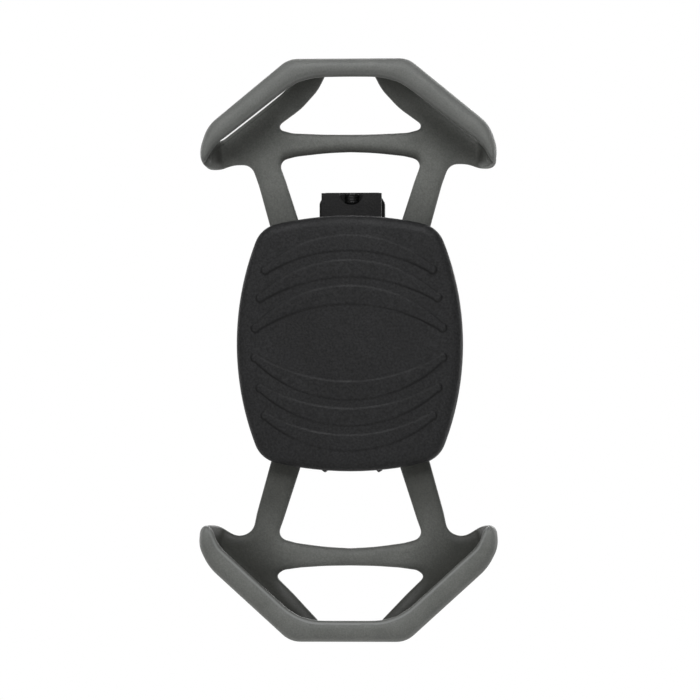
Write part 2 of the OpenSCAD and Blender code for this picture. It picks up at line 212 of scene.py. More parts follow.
def tube(name, rings):
    """Joins rings of points (all the same count) into a closed skin with capped ends."""
    n = len(rings[0])
    verts = [tuple(p) for ring in rings for p in ring]
    faces = []
    for k in range(len(rings) - 1):
        for i in range(n):
            j = (i + 1) % n
            faces.append([k * n + i, k * n + j, (k + 1) * n + j, (k + 1) * n + i])
    faces.append(list(range(n - 1, -1, -1)))
    faces.append([(len(rings) - 1) * n + i for i in range(n)])
    obj = make_object(name, verts, faces)
    fix_normals(obj)
    return obj


def circle(radius, sides):
    """Points of a circle round the origin, as pairs."""
    turns = [2 * math.pi * k / sides for k in range(sides)]
    return [(radius * math.cos(t), radius * math.sin(t)) for t in turns]


def resample(path, step):
    """The same path with its points at even distances of about one step."""
    seg = np.linalg.norm(np.diff(path, axis=0), axis=1)
    at = np.concatenate([[0], np.cumsum(seg)])
    count = max(2, int(at[-1] / step) + 1)
    want = np.linspace(0, at[-1], count)
    return np.stack([np.interp(want, at, path[:, k]) for k in range(path.shape[1])], 1)


# ---------------------------------------------------------------- materials
def coordinates(nt):
    return nt.nodes.new("ShaderNodeTexCoord").outputs["Object"]


def noise(nt, scale, detail=3.0, rough=0.5, source=None):
    n = nt.nodes.new("ShaderNodeTexNoise")
    n.inputs["Scale"].default_value = scale
    n.inputs["Detail"].default_value = detail
    n.inputs["Roughness"].default_value = rough
    nt.links.new(source or coordinates(nt), n.inputs["Vector"])
    return n.outputs["Fac"]


def ramp(nt, fac, lo, hi, a, b):
    r = nt.nodes.new("ShaderNodeMapRange")
    r.inputs["From Min"].default_value = lo
    r.inputs["From Max"].default_value = hi
    r.inputs["To Min"].default_value = a
    r.inputs["To Max"].default_value = b
    nt.links.new(fac, r.inputs["Value"])
    return r.outputs["Result"]


def mix_colour(nt, fac, a, b):
    m = nt.nodes.new("ShaderNodeMix")
    m.data_type = "RGBA"
    m.inputs["A"].default_value = (*a, 1)
    m.inputs["B"].default_value = (*b, 1)
    nt.links.new(fac, m.inputs["Factor"])
    return m.outputs["Result"]


def bump(nt, height, strength, distance, normal=None):
    b = nt.nodes.new("ShaderNodeBump")
    b.inputs["Strength"].default_value = strength
    b.inputs["Distance"].default_value = distance
    nt.links.new(height, b.inputs["Height"])
    if normal is not None:
        nt.links.new(normal, b.inputs["Normal"])
    return b.outputs["Normal"]


def new_material(name, metallic=0.0, specular=0.5):
    mat = bpy.data.materials.new(name)
    mat.use_nodes = True
    nt = mat.node_tree
    shader = nt.nodes["Principled BSDF"]
    shader.inputs["Metallic"].default_value = metallic
    shader.inputs["Specular IOR Level"].default_value = specular
    return mat, nt, shader


def moulded(name, dark, light, rough, grain_scale, grain_depth, specular=0.5, mottle=90.0, speckle=0.2):
    """Moulded plastic or rubber: cloudy colour, uneven gloss and a fine surface grain."""
    mat, nt, shader = new_material(name, specular=specular)
    cloud = noise(nt, mottle, 4.0, 0.6)
    grain = noise(nt, grain_scale, 2.0, 0.55)
    tone = mix_colour(nt, ramp(nt, cloud, 0.3, 0.7, 0, 1), dark, light)
    flecks = nt.nodes.new("ShaderNodeMix")
    flecks.data_type = "RGBA"
    flecks.blend_type = "MULTIPLY"
    flecks.inputs["Factor"].default_value = 1.0
    nt.links.new(tone, flecks.inputs["A"])
    nt.links.new(ramp(nt, grain, 0.3, 0.7, 1 - speckle, 1 + speckle), flecks.inputs["B"])
    nt.links.new(flecks.outputs["Result"], shader.inputs["Base Color"])
    gloss = noise(nt, mottle * 3.3, 3.0)
    nt.links.new(ramp(nt, gloss, 0.25, 0.75, rough - 0.06, rough + 0.06), shader.inputs["Roughness"])
    wave = noise(nt, mottle * 1.7, 2.0)
    soft = bump(nt, wave, 0.25, 0.0002)
    nt.links.new(bump(nt, grain, 0.6, grain_depth, soft), shader.inputs["Normal"])
    return mat


def metal(name, colour, rough, streak=(900.0, 40.0, 40.0)):
    """Brushed or plated metal with fine streaks."""
    mat, nt, shader = new_material(name, metallic=1.0)
    mapping = nt.nodes.new("ShaderNodeMapping")
    mapping.inputs["Scale"].default_value = streak
    nt.links.new(coordinates(nt), mapping.inputs["Vector"])
    streaks = noise(nt, 3.0, 4.0, 0.6, mapping.outputs["Vector"])
    darker = tuple(c * 0.8 for c in colour)
    tone = mix_colour(nt, ramp(nt, streaks, 0.3, 0.7, 0, 1), darker, colour)
    nt.links.new(tone, shader.inputs["Base Color"])
    nt.links.new(ramp(nt, streaks, 0.2, 0.8, rough - 0.08, rough + 0.1), shader.inputs["Roughness"])
    nt.links.new(bump(nt, streaks, 0.25, 0.00003), shader.inputs["Normal"])
    return mat


def by_attribute(nt, colour, name, tint, blend):
    """The colour changed by a tint where a painted attribute says so."""
    painted = nt.nodes.new("ShaderNodeAttribute")
    painted.attribute_name = name
    m = nt.nodes.new("ShaderNodeMix")
    m.data_type = "RGBA"
    m.blend_type = blend
    m.inputs["B"].default_value = (*tint, 1)
    nt.links.new(painted.outputs["Fac"], m.inputs["Factor"])
    nt.links.new(colour, m.inputs["A"])
    return m.outputs["Result"]


def tint_by_attributes(mat, *tints):
    """Changes a material's colour by painted attributes, given as name, tint and blend."""
    nt = mat.node_tree
    shader = nt.nodes["Principled BSDF"]
    colour = shader.inputs["Base Color"].links[0].from_socket
    for name, tint, blend in tints:
        colour = by_attribute(nt, colour, name, tint, blend)
    nt.links.new(colour, shader.inputs["Base Color"])
    return shader


def silicone():
    """Matte silicone: the moulded finish, with painted shade in its pockets and a painted highlight on its
    lip and band faces.
    """
    dark, light = (0.094, 0.097, 0.089), (0.116, 0.119, 0.110)
    mat = moulded(
        "silicone_grey", dark, light,
        rough=0.58, grain_scale=2600.0, grain_depth=0.00008, specular=0.35, mottle=140.0, speckle=0.16,
    )
    # painted shade: a dark multiply tint where the holder is shaded; painted highlight: a pale tint on the
    # lip and band faces
    pocket_shade = ("painted_shade", (0.27, 0.27, 0.25), "MULTIPLY")
    shader = tint_by_attributes(mat, pocket_shade, ("painted_highlight", (0.21, 0.215, 0.21), "MIX"))
    shader.inputs["Sheen Weight"].default_value = 0.06
    shader.inputs["Sheen Roughness"].default_value = 0.5
    return mat


def pad_plastic():
    """The pad's matte moulded plastic, with painted shade along the foot of its ribs and over its rolled
    edge.
    """
    dark, light = (0.0115, 0.0115, 0.0118), (0.0150, 0.0150, 0.0155)
    mat = moulded(
        "pad_black", dark, light,
        rough=0.6, grain_scale=1900.0, grain_depth=0.00016, specular=0.22, mottle=60.0, speckle=0.45,
    )
    # painted shade: a dark multiply tint at the rib feet and on the rolled edge
    tint_by_attributes(mat, ("painted_pad_shade", (0.12, 0.12, 0.12), "MULTIPLY"))
    return mat


SILICONE = silicone()
PAD = pad_plastic()
SHELL = moulded(
    "shell_black", (0.0125, 0.0125, 0.0135), (0.0165, 0.0165, 0.0175),
    rough=0.46, grain_scale=4200.0, grain_depth=0.00004, specular=0.45,
)
FRAME = moulded(
    "frame_black", (0.0075, 0.0073, 0.0074), (0.0105, 0.0102, 0.0103),
    rough=0.5, grain_scale=2000.0, grain_depth=0.00012, specular=0.3, speckle=0.35,
)
TAB = moulded(
    "tab_black", (0.0022, 0.0022, 0.0023), (0.0035, 0.0035, 0.0036),
    rough=0.48, grain_scale=2400.0, grain_depth=0.00008, specular=0.3, speckle=0.3,
)
STRAP = moulded(
    "strap_rubber", (0.014, 0.014, 0.014), (0.02, 0.02, 0.0195),
    rough=0.62, grain_scale=3000.0, grain_depth=0.00004, specular=0.35,
)
SADDLE = moulded(
    "saddle_rubber", (0.02, 0.02, 0.021), (0.03, 0.03, 0.03),
    rough=0.7, grain_scale=2600.0, grain_depth=0.00005, specular=0.3,
)
STEEL = metal("brushed_steel", (0.55, 0.55, 0.56), 0.33)
ZINC = metal("zinc_plate", (0.6, 0.59, 0.57), 0.3, (60.0, 700.0, 60.0))
ALUMINIUM = metal("blasted_aluminium", (0.68, 0.69, 0.7), 0.42, (300.0, 300.0, 300.0))

CAD_MATERIALS = {
    "core_plate": ALUMINIUM,
    "rear_shell": SHELL,
    "shell_screws": ZINC,
    "detent_springs": STEEL,
    "detent_screws": ZINC,
    "swivel_hub": ALUMINIUM,
    "retaining_disc": STEEL,
    "wave_washer": STEEL,
    "pivot_screw": ZINC,
    "clamp_frame": FRAME,
    "saddle_pad": SADDLE,
    "hub_screws": ZINC,
    "strap_hook": STEEL,
    "hook_screws": ZINC,
    "strap_pin": STEEL,
    "pin_clips": STEEL,
}
# width of the rounding on their edges
BEVELS = {
    "rear_shell": 0.25,
    "clamp_frame": 0.35,
    "saddle_pad": 0.2,
    "strap_hook": 0.25,
    "strap_pin": 0.15,
    "shell_screws": 0.12,
    "hook_screws": 0.12,
    "swivel_hub": 0.15,
    "core_plate": 0.15,
}


def dress(obj, material):
    obj.data.materials.clear()
    obj.data.materials.append(material)


def weight_normals(obj):
    weighted = obj.modifiers.new("normals", "WEIGHTED_NORMAL")
    weighted.keep_sharp = False


def finish_cad_nodes():
    """Materials for the pieces that stay as the CAD made them, with softened edges."""
    for name, material in CAD_MATERIALS.items():
        obj = NODES[name]
        dress(obj, material)
        smooth_faces(obj)
        if name in BEVELS:
            bevel = obj.modifiers.new("edge", "BEVEL")
            bevel.width = BEVELS[name] * MM
            bevel.segments = 3
            bevel.limit_method = "ANGLE"
            bevel.angle_limit = math.radians(38)
            bevel.use_clamp_overlap = True
            bevel.harden_normals = False
        weight_normals(obj)


# ---------------------------------------------------------------- pad cover
PAD_POINTS = 760
PAD_EDGE_R, PAD_CROWN = 3.0, 0.55


def plate_outline(count):
    """The pad's outline: four bulging arcs with rounded corners, at evenly spread angles."""
    # a corner arc touches the side arc and the end arc from inside
    d_side, d_end = SIDE_ARC_R - CORNER_R, END_ARC_R - CORNER_R
    cx, cz = PLATE_HALF_W - SIDE_ARC_R, PLATE_HALF_H - END_ARC_R
    x, z = PLATE_HALF_W - CORNER_R, PLATE_HALF_H - CORNER_R
    for _ in range(40):
        z = cz + math.sqrt(d_end**2 - x**2)
        x = cx + math.sqrt(d_side**2 - z**2)
    a_side = math.atan2(z, x - cx)
    a_end = math.atan2(z - cz, x)
    quarter = []
    for t in np.linspace(0, a_side, 40, endpoint=False):
        quarter.append((cx + SIDE_ARC_R * math.cos(t), SIDE_ARC_R * math.sin(t)))
    for t in np.linspace(a_side, a_end, 40, endpoint=False):
        quarter.append((x + CORNER_R * math.cos(t), z + CORNER_R * math.sin(t)))
    for t in np.linspace(a_end, math.pi / 2, 41):
        quarter.append((END_ARC_R * math.cos(t), cz + END_ARC_R * math.sin(t)))
    q = np.array(quarter)
    full = np.concatenate([q[:-1], (q * [-1, 1])[::-1][:-1], (-q)[:-1], (q * [1, -1])[::-1][:-1]])
    closed = np.concatenate([full, full[:1]])
    return resample(closed, 0.01 + np.linalg.norm(np.diff(closed, axis=0), axis=1).sum() / count)[:-1]


# each pair of ribs: top and bottom on the middle line, half length, radius of the top and bottom arcs
RIBS = ((25.9, 22.2, 20.1, 30.7, 38.9), (19.9, 15.8, 21.3, 32.0, 41.4), (13.7, 9.3, 22.5, 32.1, 41.3))


def rib_relief(x, z):
    """Height of the six curved ribs, thick in their middles and narrow at their rounded ends, and the
    painted shade line at their foot."""
    height = np.zeros_like(x)
    painted_pad_shade = np.zeros_like(x)
    az = np.abs(z)
    for top, bottom, end_x, top_r, bottom_r in RIBS:
        from_top = np.hypot(x, az - (top - top_r)) - top_r
        from_bottom = bottom_r - np.hypot(x, az - (bottom - bottom_r))
        body = np.maximum(np.maximum(from_top, from_bottom), np.abs(x) - end_x)
        top_end = top - top_r + math.sqrt(top_r**2 - end_x**2)
        bottom_end = bottom - bottom_r + math.sqrt(bottom_r**2 - end_x**2)
        ends = np.hypot(np.abs(x) - end_x, az - (top_end + bottom_end) / 2) - (top_end - bottom_end) / 2
        edge = np.minimum(body, ends)
        height = np.maximum(height, 0.7 * RIB_HEIGHT * smoothstep(0.16, -0.16, edge))
        # painted shade: a dark line round the foot of each rib, weaker near the middle
        painted_pad_shade = np.maximum(painted_pad_shade, np.exp(-(((edge - 0.1) / 0.2) ** 2)))
    return height, painted_pad_shade * (0.14 + 0.86 * smoothstep(9.0, 19.0, np.abs(x)))


def build_pad_cover():
    """The pad's front: a skirt, a rolled edge and a slightly crowned face with the ribs."""
    outline = plate_outline(PAD_POINTS)
    count = len(outline)
    normal = np.roll(outline, -1, 0) - np.roll(outline, 1, 0)
    normal = np.stack([normal[:, 1], -normal[:, 0]], 1)
    normal /= np.linalg.norm(normal, axis=1)[:, None]
    face_edge = PLATE_FRONT + PAD_CROWN
    # a lip that turns in at the seam, then the skirt, to where the front edge starts to round
    lip = ((2.0, 0.02), (0.3, 0.05), (0.08, -0.2))
    rings = [(outline - normal * inset, WEB_FRONT + y) for inset, y in lip]
    skirt = np.linspace(WEB_FRONT + 0.35, PLATE_FRONT + PAD_EDGE_R, 5)[1:]
    rings += [(outline, min(y, WEB_FRONT - 0.5)) for y in skirt]
    for t in np.linspace(0, math.pi / 2, 15)[1:]:
        inset = PAD_EDGE_R * (1 - math.cos(t)) * 0.95
        rings.append((outline - normal * inset, face_edge + (PAD_EDGE_R - PAD_CROWN) * (1 - math.sin(t))))
    inner = outline - normal * PAD_EDGE_R * 0.95
    for s in np.linspace(1, 0.004, fineness(150))[1:]:
        rings.append((inner * s, PLATE_FRONT + PAD_CROWN * s**3))
    verts, faces, dark = [], [], []
    for flat, y in rings:
        relief, painted_pad_shade = rib_relief(flat[:, 0], flat[:, 1])
        on_face = float(y < face_edge + 0.1)
        verts += [(p[0], y - h, p[1]) for p, h in zip(flat, relief * on_face)]
        # painted shade: darker over the rolled edge and along the rib feet
        rolled = min(max((y - face_edge) / 1.8, 0.0), 1.0)
        dark.append(painted_pad_shade * on_face + 0.28 * rolled**2)
    for k in range(len(rings) - 1):
        for i in range(count):
            j = (i + 1) % count
            faces.append([k * count + i, k * count + j, (k + 1) * count + j, (k + 1) * count + i])
    faces.append([(len(rings) - 1) * count + i for i in range(count)])
    faces.append(list(range(count))[::-1])
    obj = make_object("pad_cover_skin", verts, faces)
    fix_normals(obj)
    paint(obj, "painted_pad_shade", np.concatenate(dark))
    dress(obj, PAD)
    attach(obj, "phone_plate")
    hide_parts("pad_cover")


# ---------------------------------------------------------------- silicone holder
def leg_in(z, end):
    """X of a leg's inner edge at a height."""
    return 12.5 + 0.323 * (z - 31.3) + (LOWER_LEG_SPREAD if end < 0 else 0.0)


def leg_out(z, end):
    """X of a leg's outer edge at a height."""
    return 19.3 + 0.275 * (z - 30.1) + (LOWER_LEG_SPREAD if end < 0 else 0.0)


ANCHOR_Z = 19.0


def leg_corners(end, inner_top, outer_top):
    """A leg's four corners, from where it leaves the crossbar to where it joins the tip's edge."""
    return (
        (leg_in(inner_top, end), inner_top, 10), (leg_in(ANCHOR_Z, end), ANCHOR_Z, 0),
        (leg_out(ANCHOR_Z, end), ANCHOR_Z, 0), (leg_out(outer_top, end), outer_top, 12),
    )


# Right halves of both ends' outlines, as x, distance from the holder's centre and corner radius:
# the web from the crossbar's inner edge round to its outer edge, then the band's outer edge and its
# inner lip from the middle to the tip
WEB_HALF = {
    1: (
        (0.0, 48.3, 0), (6.0, 48.05, 60), (13.2, 47.25, 12), (17.5, 46.1, 3.6), *leg_corners(1, 41.0, 40.2),
        (23.9, 45.25, 4.0), (28.2, 45.3, 8.0), (31.5, 44.1, 5.0), (35.2, 44.1, 3.2), (35.3, 49.4, 1.5),
        (30.7, 51.25, 1.5), (17.2, 61.7, 6.0), (13.1, 65.2, 4.0), (13.1, 68.2, 0.6), (6.0, 68.2, 0.6),
        (6.0, 66.6, 1.5), (7.8, 63.2, 10), (11.8, 58.9, 14), (18.6, 54.0, 1.8), (14.0, 52.75, 7),
        (6.0, 52.4, 60), (0.0, 52.35, 0),
    ),
    -1: (
        (0.0, 47.6, 0), (6.0, 47.3, 60), (13.2, 46.3, 12), (17.8, 45.0, 4.0), *leg_corners(-1, 40.5, 39.0),
        (23.4, 43.6, 4.5), (27.2, 45.0, 5.0), (31.8, 42.2, 5.0), (34.9, 41.9, 2.4), (35.4, 47.4, 1.5),
        (31.6, 47.5, 1.5), (15.6, 62.2, 6.0), (12.8, 64.6, 4.0), (12.8, 68.0, 0.6), (7.6, 68.0, 0.6),
        (7.6, 65.0, 1.5), (13.6, 58.7, 30), (18.2, 54.2, 1.7), (16.2, 52.7, 2.2), (12.0, 52.1, 20),
        (6.0, 51.7, 60), (0.0, 51.6, 0),
    ),
}
BAND_HALF = {
    1: ((0.0, 69.85, 0), (14.3, 69.85, 6.0), (33.8, 53.8, 12.0), (35.5, 48.6, 8.0), (35.4, 45.05, 0)),
    -1: ((0.0, 69.6, 0), (13.8, 69.6, 6.0), (33.3, 51.9, 13.0), (35.7, 47.0, 7.0), (35.3, 42.0, 0)),
}
BAND_INNER = {
    1: ((0.0, 65.5, 0), (11.1, 65.4, 18.0), (31.95, 49.2, 6.0), (33.7, 46.2, 2.5), (35.2, 43.6, 0)),
    -1: ((0.0, 64.7, 0), (11.4, 64.7, 18.0), (30.7, 47.1, 5.0), (32.4, 43.4, 3.0), (32.4, 38.0, 0)),
}
TIP_Z = {1: 44.35, -1: 42.2}
TOP_WALL_FROM = {1: 6.2, -1: 7.8}


def mirrored(half):
    """Both halves of an outline that runs from the middle line back to the middle line."""
    right = list(half)
    left = [(-x, z, r) for x, z, r in reversed(half) if x > 0]
    return right, left


def across(half, step):
    """A smooth open path from the left end of a half outline to its right end."""
    points = [(-x, z, r) for x, z, r in reversed(half[1:])] + list(half)
    return resample(rounded([p[:2] for p in points], [p[2] for p in points], 4.0), step)


def band_edge(end):
    """The band's outer edge as a smooth open path from the left tip to the right tip."""
    return across(BAND_HALF[end], 0.4)


def inward_of(path):
    """Unit vectors at right angles to a path that runs from left to right, towards the pad."""
    d = np.gradient(path, axis=0)
    d /= np.linalg.norm(d, axis=1)[:, None]
    return np.stack([d[:, 1], -d[:, 0]], 1)


# the band's section: how far inside the outer edge and the station along Y, for its middle line, then
# half its thickness and the whole section's width, which build_band scales to the band's own
SECTION = ((4.0, -37.25), (3.2, -37.7), (2.3, -37.8), (1.55, -37.3), (1.1, -36.3), (1.05, -34.9))
SECTION_T = 1.1
SECTION_W = 5.1
TIP_ROUND = 1.9


def section_ring():
    """Closed ring (inward, y) round the section's middle line."""
    line = resample(np.array(SECTION, float), 0.45)
    d = np.gradient(line, axis=0)
    d /= np.linalg.norm(d, axis=1)[:, None]
    n = np.stack([-d[:, 1], d[:, 0]], 1)
    turns = np.linspace(0, math.pi, 9)
    start = [line[0] + SECTION_T * (-d[0] * math.sin(t) + n[0] * math.cos(t)) for t in turns]
    end = [line[-1] + SECTION_T * (d[-1] * math.sin(t) - n[-1] * math.cos(t)) for t in turns]
    one = [p - SECTION_T * q for p, q in zip(line[1:-1], n[1:-1])]
    two = [p + SECTION_T * q for p, q in zip(line[1:-1], n[1:-1])]
    return np.array(start + one + end + two[::-1])


def build_band(end):
    """The band as a swept section whose width changes on the way and whose two ends are rounded."""
    path = band_edge(end)
    inward = inward_of(path)
    ring = section_ring()
    run = np.concatenate([[0], np.cumsum(np.linalg.norm(np.diff(path, axis=0), axis=1))])
    to_end = np.minimum(run, run[-1] - run)
    inner = across(BAND_INNER[end], 0.1)
    width = []
    for p, q in zip(path, inward):
        gap = inner - p
        ahead = gap @ q
        off = np.where((ahead > 0.5) & (ahead < 9.0), np.abs(gap[:, 0] * q[1] - gap[:, 1] * q[0]), 99.0)
        width.append(ahead[np.argmin(off)])
    width = np.maximum(np.convolve(np.pad(width, 4, "edge"), np.ones(9) / 9, "valid"), 1.4)
    closing = np.sqrt(1 - (1 - np.clip(to_end / TIP_ROUND, 0.02, 1)) ** 2)
    rings = []
    for p, q, w, c in zip(path, inward, width / SECTION_W, closing):
        flat = ring * [w, 1.0]
        middle = np.array([flat[:, 0].mean(), flat[:, 1].mean()])
        flat = middle + (flat - middle) * [c, 0.35 + 0.65 * c]
        rings.append([(p[0] + a * q[0], y, p[1] + a * q[1]) for a, y in flat])
    return tube("band", rings)


def pocket_wall(name, y_front, y_back, line_at, corner_r, thick=2.2):
    """A wall that joins the band to the web; its back edge is rounded over towards the web."""
    rings = []
    for t in np.linspace(0, 1, 15):
        y = y_front * (1 - t) + y_back * t
        into = float(np.clip((y - (y_back - corner_r)) / corner_r, 0, 1))
        back = corner_r * (1 - math.sqrt(1 - 0.97 * into**2))
        p, q, cut = line_at(t)
        outer = p + q * (cut + 0.05 + back)[:, None]
        inner = p + q * np.maximum(thick, cut + 0.35 + back)[:, None]
        rings.append([(a, y, b) for a, b in np.concatenate([outer, inner[::-1]])])
    return tube(name, rings)


def tip_wall(end, low_r=1.6):
    """The wall at the band's right tip; its lower edge is rounded and slants up towards the web."""
    path = band_edge(end)
    inward = inward_of(path)
    tail = path[:, 0] > 20
    x_run, z_run = path[tail][::-1].T
    in_x, in_z = inward[tail][::-1].T

    def line_at(t):
        low, high = TIP_Z[end] + 1.0 + 1.8 * t**1.5, TIP_Z[end] + 8.0 - 3.0 * t
        zs = np.linspace(high, low, 26)
        cut = low_r * (1 - np.sqrt(1 - (1 - np.clip((zs - low) / low_r, 0, 1)) ** 2))
        cut = cut + 1.5 * (1 - np.sqrt(1 - (1 - np.clip((high - zs) / 3.5, 0, 1)) ** 2))
        p = np.stack([np.interp(zs, z_run, x_run), zs], 1)
        q = np.stack([np.interp(zs, z_run, in_x), np.interp(zs, z_run, in_z)], 1)
        return p, q, cut

    return pocket_wall("tip", BAND_BACK + 1, WEB_BACK - 0.5, line_at, 1.5)


def top_wall(end):
    """The wall between the right arm's end and the band's straight part."""
    path = band_edge(end)
    inward = inward_of(path)
    keep = (path[:, 0] >= TOP_WALL_FROM[end]) & (path[:, 0] <= 12.9)
    line = (path[keep], inward[keep], np.zeros(keep.sum()))

    def line_at(t):
        return line

    return pocket_wall("top", BAND_BACK + 1, WEB_BACK - 0.2, line_at, 2.6)


def flip_x(obj, name):
    other = bpy.data.objects.new(name, obj.data.copy())
    bpy.context.scene.collection.objects.link(other)
    for v in other.data.vertices:
        v.co.x = -v.co.x
    fix_normals(other)
    return other


def nearest(points, path):
    """Distance of each point to the nearest point of a path."""
    out = np.full(len(points), 99.0)
    for p in path:
        out = np.minimum(out, np.hypot(points[:, 0] - p[0], points[:, 1] - p[1]))
    return out


def get_points(obj):
    co = np.zeros(len(obj.data.vertices) * 3)
    obj.data.vertices.foreach_get("co", co)
    return co.reshape(-1, 3) / MM


def set_points(obj, points):
    obj.data.vertices.foreach_set("co", (points * MM).ravel())
    obj.data.update()


# the web's edges: how far in they are rounded and what part of the thickness is left at the very edge
EDGE_REACH, EDGE_KEEP = 2.2, 0.45
ARM_RISE, TIP_RISE = 2.2, 8.8


def build_web(end):
    """The flat web, whose arms rise towards the band and whose tips are filled up to it."""
    right, left = mirrored(WEB_HALF[end])
    points = right + left
    outline = rounded([p[:2] for p in points], [p[2] for p in points])
    web = slab("web", outline, WEB_FRONT, WEB_BACK)
    voxel_fuse(web, fineness(0.3))
    co = get_points(web)
    front = np.clip((WEB_BACK - co[:, 1]) / WEB_T, 0, 1)
    # the front is rounded over towards every edge
    closed = resample(np.concatenate([outline, outline[:1]]), 0.5)
    inside = np.clip(nearest(co[:, [0, 2]], closed) / EDGE_REACH, 0, 1)
    full = EDGE_KEEP + (1 - EDGE_KEEP) * np.sqrt(1 - (1 - inside) ** 2)
    co[:, 1] = WEB_BACK + (co[:, 1] - WEB_BACK) * full
    x, z = np.abs(co[:, 0]), co[:, 2]

    def lift(x, z):
        return ARM_RISE * smoothstep(55.0, 68.5, z - 0.25 * np.clip(x - 14.0, 0, 14))

    step = 0.05
    slope_z = (lift(x, z + step) - lift(x, z - step)) / (2 * step)
    slope_x = (lift(x + step, z) - lift(x - step, z)) / (2 * step)
    # a slanting arm is made thicker along Y, so that it keeps its thickness across the slant
    thicker = np.minimum(np.sqrt(1 + np.hypot(slope_z, slope_x) ** 2), 1.9)
    middle = (WEB_FRONT + WEB_BACK) / 2
    # only the front of a tip rises, so that a solid fillet fills the corner behind the band
    along_x = smoothstep(30.4, 35.4, x)
    along_z = smoothstep(TIP_Z[end] - 4.0, TIP_Z[end] - 1.0, z)
    fillet = front * TIP_RISE * along_x * along_z
    co[:, 1] = middle - lift(x, z) - fillet + (co[:, 1] - middle) * thicker
    set_points(web, co)
    return web


def paint_shade_and_highlight(obj, end):
    """Paints shade and light into the colour: painted shade in the pockets behind the lip, along the
    crossbars' edges, on the legs by the pad, under the lip and in the tip creases, and a painted highlight
    along the lip and on the band's face.
    """
    co = get_points(obj)
    flat = np.stack([co[:, 0], (co[:, 2] + HOLDER_DROP) * end], 1)
    to_lip = nearest(flat, across(BAND_INNER[end], 0.4))
    to_bar = nearest(flat, across(WEB_HALF[end][:4], 0.4))
    depth = co[:, 1] - BAND_FRONT
    deep = smoothstep(2.0, 4.5, depth)
    # painted shade in the pockets behind the band's lip, along the crossbar's edge that faces the pad, and
    # on the legs where the pad shades them
    if end > 0:
        pocket_shade = smoothstep(11.0, 1.0, to_lip) * (0.26 + 0.5 * smoothstep(57.0, 66.0, flat[:, 1]))
        shade = 0.85 * smoothstep(2.3, 0.2, to_bar) + 0.35 * smoothstep(43.0, 34.0, flat[:, 1])
    else:
        pocket_shade = smoothstep(12.5, 1.2, to_lip)
        shade = 0.8 * smoothstep(50.0, 32.0, flat[:, 1]) + 0.5 * smoothstep(1.5, 0.2, to_bar)
    # painted shade under the lip and in the creases at the tips
    under = 0.7 * smoothstep(0.35, 0.1, to_lip) * smoothstep(0.6, 1.4, depth)
    side = np.stack([np.abs(flat[:, 0]), flat[:, 1]], 1)
    crease = [(31.7, TIP_Z[end] + 1.6 + 0.25 * k) for k in range(8)]
    crease_dark = 0.65 * smoothstep(1.7, 0.0, nearest(side, crease)) * smoothstep(1.5, 3.0, depth)
    dark = np.maximum(np.clip(pocket_shade + shade, 0, 1) * deep, np.maximum(under, crease_dark))
    on_band = smoothstep(2.6, 1.4, depth)
    # painted shade on the lower part of the upper band; painted highlight along the lip and on the band's
    # face, stronger near the lower tips
    if end > 0:
        dark = np.maximum(dark, 0.38 * smoothstep(2.0, 0.5, to_lip) * on_band)
        lip_weight, face_light = 0.3, 0.18
    else:
        lip_weight, face_light = 0.7, 0.03 + 0.2 * smoothstep(48.0, 43.5, flat[:, 1])
    lip = lip_weight * smoothstep(0.3, 0.5, to_lip) * smoothstep(0.95, 0.75, to_lip) * on_band
    paint(obj, "painted_shade", dark)
    paint(obj, "painted_highlight", np.maximum(lip, face_light * smoothstep(2.8, 1.6, depth)))


def build_holder(end):
    """One end of the silicone holder as one seamless moulding: legs, crossbar, arms, tips and band."""
    name = "upper" if end > 0 else "lower"
    pieces = [build_web(end), build_band(end)]
    tip = tip_wall(end)
    top = top_wall(end)
    pieces += [tip, flip_x(tip, "tip2"), top, flip_x(top, "top2")]
    obj = join(pieces, f"silicone_{name}")
    voxel_fuse(obj, fineness(0.27))
    relax(obj, fineness(6))
    normals = np.zeros(len(obj.data.vertices) * 3, np.float32)
    obj.data.vertex_normals.foreach_get("vector", normals)
    # grown by a tenth of a millimetre all round, because the smoothing makes it thinner
    co = get_points(obj) + 0.1 * normals.reshape(-1, 3)
    co[:, 2] = co[:, 2] * end - HOLDER_DROP
    set_points(obj, co)
    fix_normals(obj)
    paint_shade_and_highlight(obj, end)
    smooth_faces(obj)
    dress(obj, SILICONE)
    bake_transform(obj)
    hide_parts(f"{name}_legs", f"{name}_loops")


# ---------------------------------------------------------------- strap
def strap_frame():
    """Angles where the strap's line meets and leaves the bar, then the lengths of its two straight runs."""
    pin_d, bend_d = math.hypot(PIN_Y, PIN_Z), math.hypot(BEND_Y, BEND_Z)
    low = math.atan2(PIN_Z, PIN_Y) + math.acos(STRAP_R / pin_d)
    top = math.atan2(BEND_Z, BEND_Y) - math.acos(STRAP_R / bend_d)
    return low, top, math.sqrt(pin_d**2 - STRAP_R**2), math.sqrt(bend_d**2 - STRAP_R**2)


LOW_A, TOP_A, LOW_RUN, TOP_RUN = strap_frame()


def on_bar(angle):
    """A point of the strap's arc round the bar, in Y and Z."""
    return np.array([STRAP_R * math.cos(angle), STRAP_R * math.sin(angle)])


def strap_path(lower_half):
    """Half of the strap's middle line: from the pin to half way round the bar, or on to the bend."""
    low_dir = np.array([-math.sin(LOW_A), math.cos(LOW_A)])
    top_dir = np.array([-math.sin(TOP_A), math.cos(TOP_A)])
    # both halves run a little past the middle, so that they meet after being smoothed
    past = math.radians(1.1) * (1 if lower_half else -1)
    mid = math.radians((HINGE_LOW + HINGE_TOP) / 2) + past
    if lower_half:
        straight = [on_bar(LOW_A) - low_dir * s for s in np.linspace(LOW_RUN - 5.7, 0, 26)]
        arc = [on_bar(a) for a in np.linspace(LOW_A, mid, 44)[1:]]
        return np.array(straight + arc)
    cut = BEND_R * math.tan(TOP_A / 2)
    arc = [on_bar(a) for a in np.linspace(mid, TOP_A, 44)]
    straight = [on_bar(TOP_A) + top_dir * s for s in np.linspace(0, TOP_RUN - cut, 60)[1:]]
    return np.array(arc + straight)


